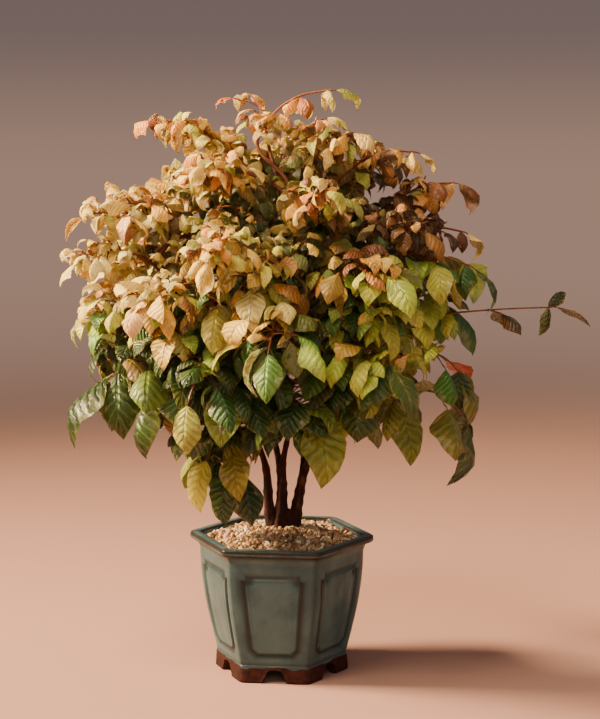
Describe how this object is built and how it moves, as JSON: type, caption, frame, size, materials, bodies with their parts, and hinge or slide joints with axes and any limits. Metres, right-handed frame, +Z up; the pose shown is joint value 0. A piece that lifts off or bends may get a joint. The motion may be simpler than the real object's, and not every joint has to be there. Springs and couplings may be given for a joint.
{
  "type": "potted heavenly bamboo bonsai",
  "caption": "Bonsai of a dwarf heavenly bamboo: a clump of slim canes with arching compound leaves, in a six-sided glazed pot with bracket feet and gravel on the soil.",
  "frame": {"origin": "at floor level, under the middle of the whole plant's bounding box; the pot's axis stands a little to the -X side of it because the plant leans to +X", "axes": "+Z up; the side seen in the picture faces -Y, with the long branch towards +X"},
  "size_m": [0.4578, 0.3534, 0.4907],
  "materials": {
    "pot_glaze": "glossy grey-green glaze, breaking to brown along edges and panel lines, with bare red clay on the feet",
    "mesh_plastic": "black moulded drainage mesh",
    "soil": "dark granular potting soil",
    "gravel": "fine tan and brown grit with cream specks",
    "bark": "dark red-brown furrowed bark",
    "leaf_cream": "thin new growth, cream to peach with orange-brown flushes",
    "leaf_bronze": "glossy bronze and maroon young leaves",
    "leaf_yellow": "yellow-green leaves, quilted between the veins",
    "leaf_green": "deep green leaves, quilted, with pale highlights"
  },
  "bodies": {
    "root": {"pot": "pot_glaze", "drainage_mesh": "mesh_plastic", "potting_soil": "soil", "gravel_top_dressing": "gravel", "cane_clump": "bark", "compound_leaf_01": "leaf_cream", "compound_leaf_02": "leaf_bronze", "compound_leaf_03": "leaf_cream", "compound_leaf_04": "leaf_cream", "compound_leaf_05": "leaf_cream", "compound_leaf_06": "leaf_cream", "compound_leaf_07": "leaf_green", "compound_leaf_08": "leaf_green", "compound_leaf_09": "leaf_green", "compound_leaf_10": "leaf_green", "compound_leaf_11": "leaf_green", "compound_leaf_12": "leaf_green", "compound_leaf_13": "leaf_yellow", "compound_leaf_14": "leaf_bronze", "compound_leaf_15": "leaf_yellow", "compound_leaf_16": "leaf_cream", "compound_leaf_17": "leaf_cream", "compound_leaf_18": "leaf_bronze", "compound_leaf_19": "leaf_cream", "compound_leaf_20": "leaf_cream", "compound_leaf_21": "leaf_bronze", "compound_leaf_22": "leaf_cream", "compound_leaf_23": "leaf_cream", "compound_leaf_24": "leaf_cream", "compound_leaf_25": "leaf_cream", "compound_leaf_26": "leaf_bronze", "compound_leaf_27": "leaf_cream", "compound_leaf_28": "leaf_cream", "compound_leaf_29": "leaf_bronze", "compound_leaf_30": "leaf_cream", "compound_leaf_31": "leaf_yellow", "compound_leaf_32": "leaf_yellow", "compound_leaf_33": "leaf_cream", "compound_leaf_34": "leaf_yellow", "compound_leaf_35": "leaf_yellow", "compound_leaf_36": "leaf_yellow", "compound_leaf_37": "leaf_yellow", "compound_leaf_38": "leaf_yellow", "compound_leaf_39": "leaf_yellow", "compound_leaf_40": "leaf_yellow", "compound_leaf_41": "leaf_green"}
  },
  "joints": []
}
